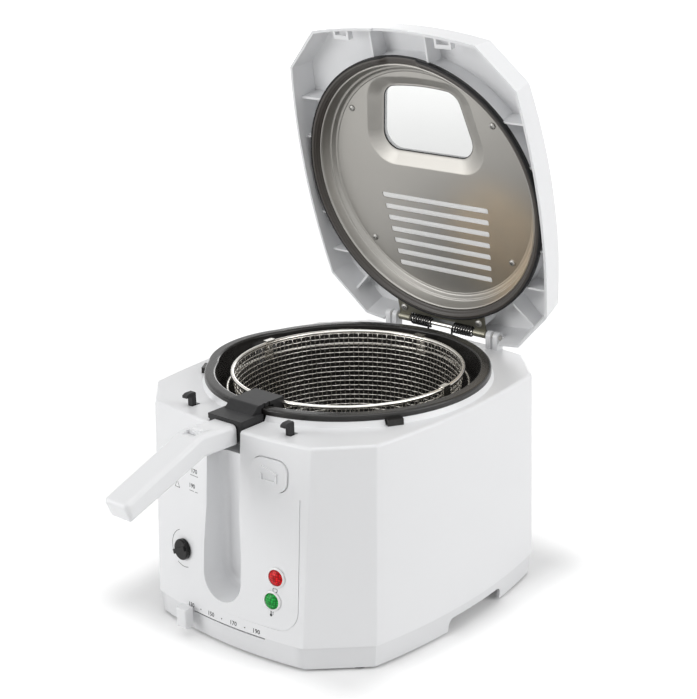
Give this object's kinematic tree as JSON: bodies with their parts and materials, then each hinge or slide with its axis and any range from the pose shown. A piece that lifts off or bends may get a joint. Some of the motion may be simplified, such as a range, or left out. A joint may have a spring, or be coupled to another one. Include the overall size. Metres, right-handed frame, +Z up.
{
  "type": "deep fryer",
  "caption": "Domestic deep fryer with sprung hinged lid, window and filter, fixed oil pot, lift-out wire basket on a folding handle, timer knob and temperature slider.",
  "frame": {"origin": "middle of the whole object's footprint on the table, with the lid open and the handle out", "axes": "+Z up, +Y towards the hinge and the back, the controls and the handle face -Y"},
  "size_m": [0.25, 0.3861, 0.4379],
  "materials": {
    "white_plastic": "smooth moulded",
    "base_plastic": "smooth moulded",
    "inside_plastic": "satin moulded",
    "black_plastic": "fine satin",
    "nonstick": "semi-gloss non-stick coating",
    "steel_sheet": "satin pressed sheet",
    "galvanised": "plain galvanised sheet",
    "aluminium": "as rolled",
    "wire": "bright plated wire",
    "screw_steel": "bright zinc plated",
    "bracket_steel": "passivated plate",
    "spring_steel": "black oil finish",
    "seal_rubber": "matt silicone",
    "foot_rubber": "matt",
    "glass": "clear toughened",
    "red_lens": "clear tinted",
    "green_lens": "clear tinted",
    "bezel": "smooth",
    "filter_felt": "felt"
  },
  "bodies": {
    "body": {"housing": "white_plastic", "base_tray": "base_plastic", "feet": "foot_rubber", "base_screws": "screw_steel", "cord_gland": "black_plastic", "oil_pot": "nonstick", "heat_shield": "galvanised", "heating_element": "steel_sheet", "element_plate": "aluminium", "thermal_cutout": "black_plastic", "thermostat": "inside_plastic", "terminal_block": "inside_plastic", "power_lamp": "red_lens", "temperature_lamp": "green_lens", "lamp_bezels": "bezel", "lamp_holders": "inside_plastic", "timer_body": "inside_plastic", "latch_spring": "screw_steel", "hinge_rod": "wire", "right_hinge_spring": "spring_steel", "left_hinge_spring": "spring_steel"},
    "lid": {"lid_shell": "white_plastic", "inner_lid": "steel_sheet", "lid_seal": "seal_rubber", "window_glass": "glass", "filter_pad": "filter_felt", "inner_lid_screws": "screw_steel", "hinge_bracket": "bracket_steel", "hinge_screws": "screw_steel"},
    "filter_cover": {"filter_cover": "white_plastic"},
    "basket": {"basket_mesh": "wire", "basket_rim": "wire", "basket_hoop": "wire", "basket_clips": "wire", "basket_saddle": "black_plastic", "handle_pivot_pin": "screw_steel"},
    "handle": {"handle_upper": "white_plastic", "handle_lower": "white_plastic"},
    "handle_catch": {"handle_catch": "white_plastic"},
    "open_button": {"open_button": "white_plastic"},
    "latch": {"latch_yoke": "black_plastic"},
    "timer_knob": {"timer_knob": "black_plastic"},
    "temperature_slider": {"temperature_slider": "white_plastic"},
    "thermostat_lever": {"thermostat_lever": "galvanised"}
  },
  "joints": [
    {"name": "lid_hinge", "type": "hinge", "parent": "body", "child": "lid", "pos_m": [0, 0.1733, 0.1841], "axis": [-1, 0, 0], "range_deg": [-76.5, 0], "stiffness_Nm_per_rad": 0.5, "springref_deg": 34.38},
    {"name": "filter_cover_lift", "type": "slide", "parent": "lid", "child": "filter_cover", "axis": [0, 0.9724, 0.2334], "range_m": [0, 0.03]},
    {"name": "basket_lift", "type": "slide", "parent": "body", "child": "basket", "axis": [0, 0, 1], "range_m": [0, 0.12]},
    {"name": "handle_fold", "type": "hinge", "parent": "basket", "child": "handle", "pos_m": [0, -0.0815, 0.165], "axis": [1, 0, 0], "range_deg": [0, 72]},
    {"name": "catch_slide", "type": "slide", "parent": "handle", "child": "handle_catch", "axis": [0, -0.9979, 0.0643], "range_m": [0, 0.005], "stiffness_N_per_m": 250, "springref_m": -0.003},
    {"name": "button_press", "type": "slide", "parent": "body", "child": "open_button", "axis": [0, 1, 0], "range_m": [0, 0.003], "stiffness_N_per_m": 900, "springref_m": -0.003},
    {"name": "latch_slide", "type": "slide", "parent": "body", "child": "latch", "axis": [0, 1, 0], "range_m": [0, 0.003], "deforming": ["latch_spring"]},
    {"name": "timer_turn", "type": "hinge", "parent": "body", "child": "timer_knob", "pos_m": [-0.0425, -0.09362, 0.0663], "axis": [0.1094, 0.991, -0.0774], "range_deg": [0, 270]},
    {"name": "temperature_slide", "type": "slide", "parent": "body", "child": "temperature_slider", "axis": [1, 0, 0], "range_m": [0, 0.0686]},
    {"name": "thermostat_turn", "type": "hinge", "parent": "body", "child": "thermostat_lever", "pos_m": [0.0003, 0.0143, 0.024], "axis": [0, 0, 1], "range_deg": [0, 38.14]}
  ],
  "couplings": [
    {"joint": "latch_slide", "follows": "button_press", "ratio": 1},
    {"joint": "thermostat_turn", "follows": "temperature_slide", "rad_per_m": 9.6783}
  ]
}
